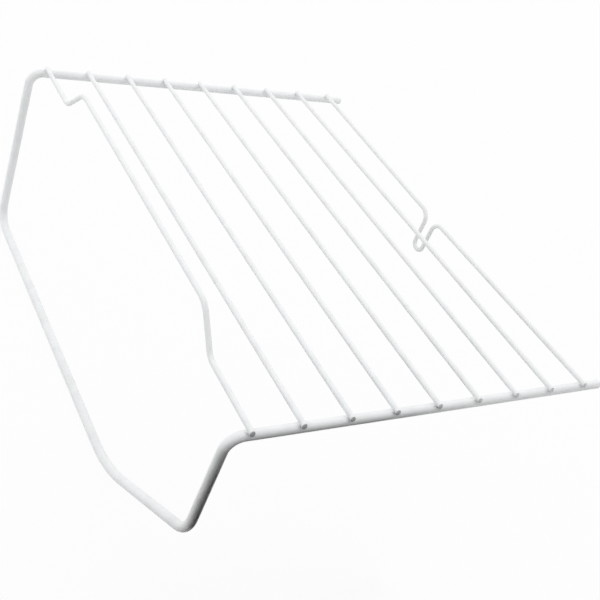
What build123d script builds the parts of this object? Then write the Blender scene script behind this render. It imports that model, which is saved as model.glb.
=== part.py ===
from build123d import *
import math
import os

# A half-width refrigerator shelf of welded wire. Thin wires run from front to rear on top of two
# bars. The bars are the two ends of one thick rod, which drops at the left to form a leg.
# The origin is on the right-hand edge, where the shelf meets the cabinet: x = 0 is the wall at the
# end of the front bar, y = 0 the middle of the depth and z = 0 the ledge under the bars.
# +X points at the wall, +Y to the rear and +Z up.

# Driving dimensions in millimetres. Diameters are taken over the white coating.
rod_diameter = 5.4
wire_diameter = 3.0
wire_count = 9
wire_pitch = 28.0  # between the axes of neighbouring wires
bar_spacing = 321.4  # between the axes of the front bar and the rear bar
weld_set = 0.2  # depth to which each wire is pressed into the bars
front_overhang = 3.1  # front end of a wire past the axis of the front bar
rear_setback = 0.5  # rear end of a wire short of the axis of the rear bar
shear_lean = 15.0  # degrees by which the sheared ends of the wires look up
front_stub_length = 17.2  # end of the front bar past the axis of the last wire
rear_stub_length = 15.0  # end of the rear bar past the axis of the last wire
wire_end_round = 0.25  # rounding of the coating at the cut ends of the wires
rod_end_round = 0.8  # and at the two ends of the rod

# The leg: straight down from the front bar, slanting to the rear, level, and up to the rear bar
corner_lead = 1.1  # straight bar left of the first wire's axis, before the corner bends down
top_corner_radius = 8.7
front_leg_drop = 67.2  # from the bar's axis to the foot of the front leg
bottom_run_drop = 118.5  # from the bar's axis to the axis of the level run
slant_reach = 84.8  # from the front bar to the rear end of the slant
leg_splay = 1.1  # the level run stands this much further out than the tops of the leg
leg_foot_radius = 18.5
slant_end_radius = 72.0
riser_foot_radius = 13.9

# The guard rail, raised above the shelf along the free left edge
rail_lead = 45.8  # level wire between each bar and the foot of its ramp
rail_ramp = 20.0  # length of each ramp, measured level
rail_rise = 18.7
rail_foot_radius = 10.0
rail_crest_radius = 15.0

# The stop loop, hanging from the last wire near the middle of its length
loop_y = 1.3  # middle of the loop, behind the middle of the depth
loop_width = 9.1  # between the axes of the two strands
loop_drop = 28.8  # from the shelf's wire axis to the axis at the bottom of the loop
loop_sag = 2.1  # the last wire slopes down by this much towards the loop
loop_shoulder_radius = 7.5

# Places that follow from them
rod_radius = rod_diameter / 2
wire_radius = wire_diameter / 2
front_y = -bar_spacing / 2
rear_y = bar_spacing / 2
bar_z = rod_radius
wire_z = bar_z + rod_radius + wire_radius - weld_set
last_wire_x = -front_stub_length
first_wire_x = last_wire_x - (wire_count - 1) * wire_pitch
leg_x = first_wire_x - corner_lead - top_corner_radius
front_end_y = front_y - front_overhang
rear_end_y = rear_y - rear_setback

# The wires are bent a little too long, and the shear takes the rest off
front_stock_y = front_end_y - wire_diameter
rear_stock_y = rear_end_y + wire_diameter


def bent(path, radius):
    """A round rod along a path, with square ends."""
    section = Plane(origin=path @ 0, z_dir=path % 0) * Circle(radius)
    return sweep(section, path=path)


def coated_ends(rod, end_round):
    """The rod with the edges of its cut ends rounded by the coating."""
    cut_ends = rod.faces().filter_by(GeomType.PLANE)
    return fillet(cut_ends.edges(), end_round)


def sheared(wire):
    """A wire cut off at both bars on a lean, so that each cut face looks up a little."""
    out = math.cos(math.radians(shear_lean))
    up = math.sin(math.radians(shear_lean))
    front_cut = Plane(origin=(0, front_end_y, wire_z), z_dir=(0, -out, up))
    rear_cut = Plane(origin=(0, rear_end_y, wire_z), z_dir=(0, out, up))
    for cut in (front_cut, rear_cut):
        wire = split(wire, bisect_by=cut, keep=Keep.BOTTOM)
    return coated_ends(wire, wire_end_round)


def straight_wire(x):
    """One of the plain shelf wires."""
    path = Line((x, front_stock_y, wire_z), (x, rear_stock_y, wire_z))
    return sheared(bent(path, wire_radius))


def guard_wire():
    """The first wire, with ramps up to the raised rail and down again."""
    rail_z = wire_z + rail_rise
    front_foot_y = front_y + rail_lead
    rear_foot_y = rear_y - rail_lead
    path = FilletPolyline(
        (first_wire_x, front_stock_y, wire_z),
        (first_wire_x, front_foot_y, wire_z),
        (first_wire_x, front_foot_y + rail_ramp, rail_z),
        (first_wire_x, rear_foot_y - rail_ramp, rail_z),
        (first_wire_x, rear_foot_y, wire_z),
        (first_wire_x, rear_stock_y, wire_z),
        radius=[rail_foot_radius, rail_crest_radius, rail_crest_radius, rail_foot_radius],
    )
    return sheared(bent(path, wire_radius))


def stop_wire():
    """The last wire, bent down into a narrow U near the middle of its length."""
    turn_radius = loop_width / 2
    front_strand_y = loop_y - turn_radius
    rear_strand_y = loop_y + turn_radius
    shoulder_z = wire_z - loop_sag
    turn_z = wire_z - loop_drop + turn_radius
    front_strand = FilletPolyline(
        (last_wire_x, front_stock_y, wire_z),
        (last_wire_x, front_strand_y, shoulder_z),
        (last_wire_x, front_strand_y, turn_z),
        radius=loop_shoulder_radius,
    )
    turn = ThreePointArc(
        (last_wire_x, front_strand_y, turn_z),
        (last_wire_x, loop_y, turn_z - turn_radius),
        (last_wire_x, rear_strand_y, turn_z),
    )
    rear_strand = FilletPolyline(
        (last_wire_x, rear_strand_y, turn_z),
        (last_wire_x, rear_strand_y, shoulder_z),
        (last_wire_x, rear_stock_y, wire_z),
        radius=loop_shoulder_radius,
    )
    path = Wire(front_strand.edges() + turn.edges() + rear_strand.edges())
    return sheared(bent(path, wire_radius))


def frame_rod(wires):
    """The front bar, leg and rear bar, bent from one rod, with a seat pressed in by each wire."""
    foot_x = leg_x - leg_splay * front_leg_drop / bottom_run_drop
    foot_z = bar_z - front_leg_drop
    bottom_x = leg_x - leg_splay
    bottom_z = bar_z - bottom_run_drop
    path = FilletPolyline(
        (last_wire_x + front_stub_length, front_y, bar_z),
        (leg_x, front_y, bar_z),
        (foot_x, front_y, foot_z),
        (bottom_x, front_y + slant_reach, bottom_z),
        (bottom_x, rear_y, bottom_z),
        (leg_x, rear_y, bar_z),
        (last_wire_x + rear_stub_length, rear_y, bar_z),
        radius=[
            top_corner_radius,
            leg_foot_radius,
            slant_end_radius,
            riser_foot_radius,
            top_corner_radius,
        ],
    )
    return coated_ends(bent(path, rod_radius), rod_end_round) - wires


nodes = {"guard_wire": guard_wire()}
for index in range(1, wire_count - 1):
    nodes[f"shelf_wire_{index}"] = straight_wire(first_wire_x + index * wire_pitch)
nodes["stop_wire"] = stop_wire()
nodes["frame_rod"] = frame_rod(list(nodes.values()))

os.makedirs("parts", exist_ok=True)
for name, shape in nodes.items():
    export_step(shape, f"parts/{name}.step")
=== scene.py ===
import math

import bmesh
import bpy
from mathutils import Matrix, Quaternion, Vector


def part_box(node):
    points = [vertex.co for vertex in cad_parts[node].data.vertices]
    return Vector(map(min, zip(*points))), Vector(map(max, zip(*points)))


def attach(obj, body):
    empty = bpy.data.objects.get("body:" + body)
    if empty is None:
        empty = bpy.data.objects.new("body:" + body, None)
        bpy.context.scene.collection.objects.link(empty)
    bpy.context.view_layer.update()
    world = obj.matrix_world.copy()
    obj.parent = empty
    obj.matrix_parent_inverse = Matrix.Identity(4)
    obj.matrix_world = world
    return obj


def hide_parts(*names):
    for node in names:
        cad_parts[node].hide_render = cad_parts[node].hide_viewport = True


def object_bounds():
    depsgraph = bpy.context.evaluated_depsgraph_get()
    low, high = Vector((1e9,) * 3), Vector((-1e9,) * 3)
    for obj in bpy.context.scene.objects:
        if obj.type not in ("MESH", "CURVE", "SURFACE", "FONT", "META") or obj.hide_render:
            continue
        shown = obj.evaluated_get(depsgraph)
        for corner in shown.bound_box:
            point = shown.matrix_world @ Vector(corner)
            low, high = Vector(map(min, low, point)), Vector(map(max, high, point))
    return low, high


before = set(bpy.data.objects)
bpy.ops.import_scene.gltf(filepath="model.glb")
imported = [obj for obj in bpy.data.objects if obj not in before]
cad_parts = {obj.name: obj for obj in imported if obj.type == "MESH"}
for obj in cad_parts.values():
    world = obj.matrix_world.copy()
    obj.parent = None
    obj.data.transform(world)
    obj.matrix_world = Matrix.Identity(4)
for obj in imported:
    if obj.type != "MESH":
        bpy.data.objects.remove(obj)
cad_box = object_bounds()

# The frame rod: one length of 5 mm steel rod, bent cold into the front bar, the leg and the rear bar.
# The thin wires are resistance welded on top of it, and the whole shelf is then powder coated white.
mm = 0.001
rod_low, rod_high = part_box("frame_rod")
rod_radius = 2.7 * mm
rod_sides = 32
top_corner_radius = 8.7 * mm
front_leg_drop = 67.2 * mm
slant_reach = 84.8 * mm
leg_splay = 1.1 * mm
leg_foot_radius = 18.5 * mm
slant_end_radius = 72.0 * mm
riser_foot_radius = 13.9 * mm
rear_bar_shortfall = 2.2 * mm
rod_end_round = 0.8 * mm
feed_length = 12.0 * mm
bend_degrees = 6.0
round_steps = 4
flat_margin = 0.03 * mm

coat_white = "F1F2F2"
coat_shade = "EBECEC"
coat_ior = 1.5
thin_roughness = 0.40
full_roughness = 0.26
peel_size = 2.2 * mm
peel_depth = 0.01 * mm
sag_size = 18.0 * mm
sag_depth = 0.15 * mm
patch_size = 9.0 * mm


def linear(hex_colour):
    """The linear colour, with alpha, of an sRGB hex value."""
    channels = [int(hex_colour[i:i + 2], 16) / 255.0 for i in (0, 2, 4)]
    return [c / 12.92 if c <= 0.04045 else ((c + 0.055) / 1.055) ** 2.4 for c in channels] + [1.0]


def add_node(tree, kind, links=None, **settings):
    """Adds a node. Settings are its own attributes or its sockets' values, links are its inputs."""
    node = tree.nodes.new(kind)
    for name, value in settings.items():
        if hasattr(node, name):
            setattr(node, name, value)
        else:
            node.inputs[name.replace("_", " ")].default_value = value
    for name, source in (links or {}).items():
        tree.links.new(source, node.inputs[name])
    return node


def new_material(name):
    """An empty node material and its tree."""
    material = bpy.data.materials.new(name)
    material.use_nodes = True
    material.node_tree.nodes.clear()
    return material, material.node_tree


def powder_coat():
    """Polyester powder, sprayed on dry and melted in an oven: a satin white skin with a faint orange peel,
    long soft waves where it sagged on the wire, and slightly greyer patches where it lies thin. The real
    peel is about 1 mm wide and is drawn twice as wide, so that it shows."""
    material, tree = new_material("white_powder_coat")
    place = add_node(tree, "ShaderNodeTexCoord").outputs["Object"]
    peel = add_node(tree, "ShaderNodeTexNoise", {"Vector": place}, Scale=1 / peel_size, Detail=1.5)
    sag = add_node(tree, "ShaderNodeTexNoise", {"Vector": place}, Scale=1 / sag_size, Detail=0.0)
    patch = add_node(tree, "ShaderNodeTexNoise", {"Vector": place}, Scale=1 / patch_size, Detail=3.0)
    tint = add_node(tree, "ShaderNodeValToRGB", {"Fac": patch.outputs["Fac"]})
    tint.color_ramp.elements[0].position = 0.3
    tint.color_ramp.elements[0].color = linear(coat_shade)
    tint.color_ramp.elements[1].position = 0.55
    tint.color_ramp.elements[1].color = linear(coat_white)
    gloss = add_node(tree, "ShaderNodeMapRange", {"Value": patch.outputs["Fac"]},
                     To_Min=thin_roughness, To_Max=full_roughness)
    waves = add_node(tree, "ShaderNodeBump", {"Height": sag.outputs["Fac"]}, Distance=sag_depth)
    skin = add_node(tree, "ShaderNodeBump", {
        "Height": peel.outputs["Fac"],
        "Normal": waves.outputs["Normal"],
    }, Distance=peel_depth)
    shader = add_node(tree, "ShaderNodeBsdfPrincipled", {
        "Base Color": tint.outputs["Color"],
        "Roughness": gloss.outputs["Result"],
        "Normal": skin.outputs["Normal"],
    }, IOR=coat_ior)
    add_node(tree, "ShaderNodeOutputMaterial", {"Surface": shader.outputs["BSDF"]})
    return material


def bent_wire(name, corners, bend_radii, radius, sides, end_round, shear_cuts=()):
    """A round wire through the corners, made as on a bending machine: fed straight, then spun round each
    bend, and at last cut off on the shear's planes. Sheared ends take the second material."""
    mesh = bmesh.new()
    headings = [(b - a).normalized() for a, b in zip(corners, corners[1:])]
    turns = [a.angle(b) for a, b in zip(headings, headings[1:])]
    tangents = [0.0] + [r * math.tan(t / 2) for r, t in zip(bend_radii, turns)] + [0.0]
    start = Matrix.Translation(corners[0]) @ headings[0].to_track_quat("Z", "Y").to_matrix().to_4x4()
    bmesh.ops.create_circle(mesh, segments=sides, radius=radius, matrix=start)
    ring = mesh.edges[:]
    for index, heading in enumerate(headings):
        run = (corners[index + 1] - corners[index]).length - tangents[index] - tangents[index + 1]
        feeds = math.ceil(run / feed_length)
        for _ in range(feeds):
            grown = bmesh.ops.extrude_edge_only(mesh, edges=ring)["geom"]
            fresh = [v for v in grown if isinstance(v, bmesh.types.BMVert)]
            bmesh.ops.translate(mesh, verts=fresh, vec=heading * (run / feeds))
            edges = [e for e in grown if isinstance(e, bmesh.types.BMEdge)]
            ring = [e for e in edges if all(v in fresh for v in e.verts)]
        if index < len(turns):
            following = headings[index + 1]
            inward = (following - heading * heading.dot(following)).normalized()
            bend_start = corners[index + 1] - heading * tangents[index + 1]
            spun = bmesh.ops.spin(
                mesh,
                geom=ring,
                cent=bend_start + inward * bend_radii[index],
                axis=heading.cross(following),
                angle=turns[index],
                steps=math.ceil(math.degrees(turns[index]) / bend_degrees),
            )["geom_last"]
            ring = [e for e in spun if isinstance(e, bmesh.types.BMEdge)]
    for place, facing in shear_cuts:
        stock = mesh.verts[:] + mesh.edges[:] + mesh.faces[:]
        bmesh.ops.bisect_plane(mesh, geom=stock, plane_co=place, plane_no=facing, clear_outer=True)
    rims = [e for e in mesh.edges if e.is_boundary]
    bmesh.ops.holes_fill(mesh, edges=rims, sides=0)
    rounded = bmesh.ops.bevel(mesh, geom=rims, offset=end_round, segments=round_steps, profile=0.5,
                              affect="EDGES", material=-1)["faces"]
    cut_faces = [f for f in mesh.faces if len(f.verts) == sides]
    margins = bmesh.ops.inset_individual(mesh, faces=cut_faces, thickness=flat_margin)["faces"]
    if shear_cuts:
        for face in rounded + cut_faces + margins:
            face.material_index = 1
    bmesh.ops.recalc_face_normals(mesh, faces=mesh.faces)
    return coated_piece(name, mesh)


def coated_piece(name, mesh):
    """A finished mesh as a coated piece of the shelf."""
    for face in mesh.faces:
        face.smooth = True
    data = bpy.data.meshes.new(name)
    mesh.to_mesh(data)
    mesh.free()
    for material in coats:
        data.materials.append(material)
    piece = bpy.data.objects.new(name, data)
    bpy.context.scene.collection.objects.link(piece)
    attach(piece, "root")
    return piece


coats = [powder_coat()]
front_y = rod_low.y + rod_radius
rear_y = rod_high.y - rod_radius
bar_z = rod_high.z - rod_radius
bottom_z = rod_low.z + rod_radius
bottom_x = rod_low.x + rod_radius
leg_x = bottom_x + leg_splay
foot_x = leg_x - leg_splay * front_leg_drop / (bar_z - bottom_z)
rod_corners = [
    Vector((rod_high.x, front_y, bar_z)),
    Vector((leg_x, front_y, bar_z)),
    Vector((foot_x, front_y, bar_z - front_leg_drop)),
    Vector((bottom_x, front_y + slant_reach, bottom_z)),
    Vector((bottom_x, rear_y, bottom_z)),
    Vector((leg_x, rear_y, bar_z)),
    Vector((rod_high.x - rear_bar_shortfall, rear_y, bar_z)),
]
rod_bends = [top_corner_radius, leg_foot_radius, slant_end_radius, riser_foot_radius, top_corner_radius]
rod = bent_wire("coated_frame_rod", rod_corners, rod_bends, rod_radius, rod_sides, rod_end_round)
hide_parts("frame_rod")

# The shelf wires: straight lengths of thin steel wire, laid across the two bars and welded to them. The
# shear that cuts them off, just past the front bar and on top of the rear one, leaves each end face
# looking up a little.
wire_radius = 1.5 * mm
wire_sides = 24
wire_end_round = 0.25 * mm
front_overhang = 3.1 * mm
rear_setback = 0.5 * mm
shear_lean = math.radians(15.0)
spare_length = 3.0 * mm
wire_low, wire_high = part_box("shelf_wire_1")
wire_z = (wire_low.z + wire_high.z) / 2
# The sheared ends are painted lighter from the first shelf wire to the stop wire: painted light, standing
# in for the light that falls on the right-hand ends.
darkest_end_x = wire_low.x
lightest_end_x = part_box("stop_wire")[1].x
painted_light_gain = 0.75
# The end-face grey is partly a thin coat on the cut steel and partly painted shade.
cut_white = "DCDDDD"
cut_grey = "969797"
cut_roughness = 0.5
shear_line = 0.5 * mm
shear_depth = 0.03 * mm
wave_period = math.pi / 10  # of the wave texture at scale 1


def sheared_end():
    """Powder coat on a sheared steel face, with the drag lines of the shear showing through. The face is
    grey, partly a thin coat over the cut steel and partly painted shade, and darker towards the bottom.
    Towards the right-hand ends the grey is painted lighter: painted light, standing in for the light that
    falls there and not on the left-hand ends."""
    material, tree = new_material("thin_coat_and_painted_shade_on_sheared_end")
    place = add_node(tree, "ShaderNodeTexCoord").outputs["Object"]
    axes = add_node(tree, "ShaderNodeSeparateXYZ", {"Vector": place}).outputs
    # Darker towards the bottom of each end face.
    lighter_upwards = add_node(tree, "ShaderNodeMapRange", {"Value": axes["Z"]},
                      From_Min=wire_low.z, From_Max=wire_high.z)
    # Painted light: the ends are painted lighter towards the right.
    painted_light_rightwards = add_node(tree, "ShaderNodeMapRange", {"Value": axes["X"]},
                      From_Min=darkest_end_x, From_Max=lightest_end_x, To_Max=painted_light_gain)
    end_tone = add_node(tree, "ShaderNodeMath", {0: lighter_upwards.outputs["Result"], 1: painted_light_rightwards.outputs["Result"]})
    tint = add_node(tree, "ShaderNodeValToRGB", {"Fac": end_tone.outputs[0]})
    tint.color_ramp.elements[0].color = linear(cut_grey)
    tint.color_ramp.elements[1].color = linear(cut_white)
    lines = add_node(tree, "ShaderNodeTexWave", {"Vector": place}, bands_direction="Z",
                     Scale=wave_period / shear_line, Distortion=4.0, Detail=2.0)
    drag = add_node(tree, "ShaderNodeBump", {"Height": lines.outputs["Fac"]}, Distance=shear_depth)
    shader = add_node(tree, "ShaderNodeBsdfPrincipled", {
        "Base Color": tint.outputs["Color"],
        "Normal": drag.outputs["Normal"],
    }, IOR=coat_ior, Roughness=cut_roughness)
    add_node(tree, "ShaderNodeOutputMaterial", {"Surface": shader.outputs["BSDF"]})
    return material


coats.append(sheared_end())
front_end = Vector((0, front_y - front_overhang, wire_z))
rear_end = Vector((0, rear_y - rear_setback, wire_z))
wire_cuts = [
    (front_end, Vector((0, -math.cos(shear_lean), math.sin(shear_lean)))),
    (rear_end, Vector((0, math.cos(shear_lean), math.sin(shear_lean)))),
]
front_stock_y = front_end.y - spare_length
rear_stock_y = rear_end.y + spare_length
straight_wires = [f"shelf_wire_{number}" for number in range(1, 8)]
for node in straight_wires:
    low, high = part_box(node)
    wire_x = (low.x + high.x) / 2
    stock = [Vector((wire_x, front_stock_y, wire_z)), Vector((wire_x, rear_stock_y, wire_z))]
    wire = bent_wire(f"coated_{node}", stock, [], wire_radius, wire_sides, wire_end_round, wire_cuts)
    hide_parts(node)

# The guard wire: the outermost shelf wire, cranked up near both ends so that its middle is a low rail
# along the free edge of the shelf.
guard_low, guard_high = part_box("guard_wire")
rail_lead = 45.8 * mm
rail_ramp = 20.0 * mm
rail_foot_radius = 10.0 * mm
rail_crest_radius = 15.0 * mm
guard_x = (guard_low.x + guard_high.x) / 2
rail_z = guard_high.z - wire_radius
guard_corners = [
    Vector((guard_x, front_stock_y, wire_z)),
    Vector((guard_x, front_y + rail_lead, wire_z)),
    Vector((guard_x, front_y + rail_lead + rail_ramp, rail_z)),
    Vector((guard_x, rear_y - rail_lead - rail_ramp, rail_z)),
    Vector((guard_x, rear_y - rail_lead, wire_z)),
    Vector((guard_x, rear_stock_y, wire_z)),
]
guard_bends = [rail_foot_radius, rail_crest_radius, rail_crest_radius, rail_foot_radius]
guard = bent_wire("coated_guard_wire", guard_corners, guard_bends, wire_radius, wire_sides, wire_end_round,
                  wire_cuts)
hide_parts("guard_wire")

# The stop wire: the last shelf wire, bent down near its middle into a narrow loop that catches a lug on
# the cabinet's ledge. Bending has pulled its two halves down a little towards the loop.
stop_low, stop_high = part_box("stop_wire")
loop_y = 1.3 * mm
loop_width = 9.1 * mm
loop_sag = 2.1 * mm
loop_shoulder_radius = 7.5 * mm
stop_x = (stop_low.x + stop_high.x) / 2
turn_radius = loop_width / 2
shoulder_z = wire_z - loop_sag
loop_z = stop_low.z + wire_radius
stop_corners = [
    Vector((stop_x, front_stock_y, wire_z)),
    Vector((stop_x, loop_y - turn_radius, shoulder_z)),
    Vector((stop_x, loop_y - turn_radius, loop_z)),
    Vector((stop_x, loop_y + turn_radius, loop_z)),
    Vector((stop_x, loop_y + turn_radius, shoulder_z)),
    Vector((stop_x, rear_stock_y, wire_z)),
]
stop_bends = [loop_shoulder_radius, turn_radius, turn_radius, loop_shoulder_radius]
stop = bent_wire("coated_stop_wire", stop_corners, stop_bends, wire_radius, wire_sides, wire_end_round,
                 wire_cuts)
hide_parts("stop_wire")

# The weld pools: at each crossing the steel squeezed out by the weld, and the powder that melts into the
# crevice round it, leave a small smooth fillet between the wire and the bar under it.
pool_sink = 0.06 * mm
pool_sides = 32
pool_loops = [  # share of the way up, reach across the wire, length along it
    (0.0, 2.5 * mm, 1.9 * mm),
    (0.1, 2.05 * mm, 1.85 * mm),
    (0.36, 1.7 * mm, 1.9 * mm),
    (0.8, 1.5 * mm, 2.1 * mm),
    (1.0, 1.47 * mm, 2.5 * mm),
]
pool_past_rear_end = 0.3 * mm


def weld_pool(mesh, wire_x, bar_y, rear_reach):
    """A ring of coating round one weld, waisted between its skirts on the bar and on the wire. Each loop
    lies at its own share of the way from the bar up to the wire. At the rear bar it closes just past the
    end of the wire."""
    loops = []
    for share, reach, length in pool_loops:
        rear = min(length, rear_reach)
        middle = Matrix.Translation((wire_x, bar_y + (rear - length) / 2, wire_z))
        oval = middle @ Matrix.Diagonal((reach, (rear + length) / 2, 1, 1))
        verts = bmesh.ops.create_circle(mesh, segments=pool_sides, radius=1.0, matrix=oval)["verts"]
        loops.append(list(dict.fromkeys(e for v in verts for e in v.link_edges)))
        for vert in verts:
            bar_rise = math.sqrt(max(0.0, rod_radius ** 2 - (vert.co.y - bar_y) ** 2))
            wire_fall = math.sqrt(max(0.0, wire_radius ** 2 - (vert.co.x - wire_x) ** 2))
            bar_top = bar_z + bar_rise - pool_sink
            wire_under = wire_z - wire_fall + pool_sink
            vert.co.z = bar_top + (wire_under - bar_top) * share
    for lower, upper in zip(loops, loops[1:]):
        bmesh.ops.bridge_loops(mesh, edges=lower + upper)
    bmesh.ops.holes_fill(mesh, edges=loops[0] + loops[-1], sides=0)


pools = bmesh.new()
for node in ["guard_wire", *straight_wires, "stop_wire"]:
    low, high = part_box(node)
    for bar_y in (front_y, rear_y):
        weld_pool(pools, (low.x + high.x) / 2, bar_y, high.y + pool_past_rear_end - bar_y)
bmesh.ops.recalc_face_normals(pools, faces=pools.faces)
coated_piece("coating_pools_at_welds", pools)

# The stage: a plain white table top that fills the picture, in a white light tent. A dark curtain behind
# the camera and a black card in front of the leg and half the front bar give the white rods their dark
# edges. The camera sees the table and the tent as white, and the table keeps a faint shadow.
table_half = 4.0
table_colour = "E4E4E4"
table_glow = 0.94
tent_colour = "FDFEFF"
tent_level = 1.09
cloth_colour = "181512"
card_y = -0.1835
card_left = -0.3022
card_right = -0.120
card_top = 0.0134
curtain_y = -0.535
curtain_left = -1.46
curtain_right = 0.254
curtain_top = 0.191


def seen_ray(tree):
    """1 for rays that show a surface to the camera, directly, in a gloss or through glass."""
    ray = add_node(tree, "ShaderNodeLightPath").outputs
    direct = add_node(tree, "ShaderNodeMath", {0: ray["Is Camera Ray"], 1: ray["Is Glossy Ray"]},
                      operation="MAXIMUM")
    return add_node(tree, "ShaderNodeMath", {0: direct.outputs[0], 1: ray["Is Transmission Ray"]},
                    operation="MAXIMUM").outputs[0]


def stage_piece(name, mesh, material):
    """A finished mesh as a piece of the stage."""
    data = bpy.data.meshes.new(name)
    mesh.to_mesh(data)
    mesh.free()
    data.materials.append(material)
    piece = bpy.data.objects.new(name, data)
    bpy.context.scene.collection.objects.link(piece)
    return piece


table_white, tree = new_material("white_table")
share = add_node(tree, "ShaderNodeMath", {0: seen_ray(tree)}, operation="MULTIPLY")
share.inputs[1].default_value = table_glow
matt = add_node(tree, "ShaderNodeBsdfDiffuse", Color=linear(table_colour))
glow = add_node(tree, "ShaderNodeEmission", Strength=1.0)
mixed = add_node(tree, "ShaderNodeMixShader", {0: share.outputs[0], 1: matt.outputs[0], 2: glow.outputs[0]})
add_node(tree, "ShaderNodeOutputMaterial", {"Surface": mixed.outputs[0]})
table_mesh = bmesh.new()
bmesh.ops.create_grid(table_mesh, x_segments=1, y_segments=1, size=table_half,
                      matrix=Matrix.Translation((0, 0, cad_box[0].z)))
stage_piece("table", table_mesh, table_white)

world = bpy.data.worlds.new("light_tent")
bpy.context.scene.world = world
world.use_nodes = True
tree = world.node_tree
tree.nodes.clear()
lit = add_node(tree, "ShaderNodeBackground", Color=linear(tent_colour), Strength=tent_level)
white = add_node(tree, "ShaderNodeBackground", Color=linear("FFFFFF"), Strength=1.0)
tent = add_node(tree, "ShaderNodeMixShader", {0: seen_ray(tree), 1: lit.outputs[0], 2: white.outputs[0]})
add_node(tree, "ShaderNodeOutputWorld", {"Surface": tent.outputs[0]})

black_cloth, tree = new_material("black_cloth")
matt = add_node(tree, "ShaderNodeBsdfDiffuse", Color=linear(cloth_colour))
add_node(tree, "ShaderNodeOutputMaterial", {"Surface": matt.outputs[0]})


def dark_screen(name, left, right, y, top):
    """An upright black screen on the table, facing the shelf, which the camera looks through."""
    mesh = bmesh.new()
    foot = [mesh.verts.new((x, y, cad_box[0].z)) for x in (left, right)]
    grown = bmesh.ops.extrude_edge_only(mesh, edges=[mesh.edges.new(foot)])["geom"]
    raised = [v for v in grown if isinstance(v, bmesh.types.BMVert)]
    bmesh.ops.translate(mesh, verts=raised, vec=(0, 0, top - cad_box[0].z))
    stage_piece(name, mesh, black_cloth).visible_camera = False


dark_screen("black_card", card_left, card_right, card_y, card_top)
dark_screen("dark_curtain", curtain_left, curtain_right, curtain_y, curtain_top)

# The camera: as in the photograph, from the front left and above, tipped to one side because the shelf
# lay on a table on its leg and its loop.
camera_place = Vector((-0.45159, -0.38902, 0.29228))
camera_azimuth = math.radians(42.88)
camera_pitch = math.radians(34.24)
camera_roll = math.radians(24.22)
picture_width = 600
focal_pixels = 935.04
centre_right = 8.85
centre_down = 4.98
heading = Vector((
    math.sin(camera_azimuth) * math.cos(camera_pitch),
    math.cos(camera_azimuth) * math.cos(camera_pitch),
    -math.sin(camera_pitch),
))
lens = bpy.data.cameras.new("camera")
lens.sensor_width = 36.0
lens.lens = focal_pixels / picture_width * lens.sensor_width
lens.shift_x = -centre_right / picture_width
lens.shift_y = centre_down / picture_width
camera = bpy.data.objects.new("camera", lens)
camera.location = camera_place
aim = heading.to_track_quat("-Z", "Y") @ Quaternion((0, 0, 1), camera_roll)
camera.rotation_euler = aim.to_euler()
bpy.context.scene.collection.objects.link(camera)
bpy.context.scene.camera = camera
bpy.context.scene.view_settings.view_transform = "Standard"
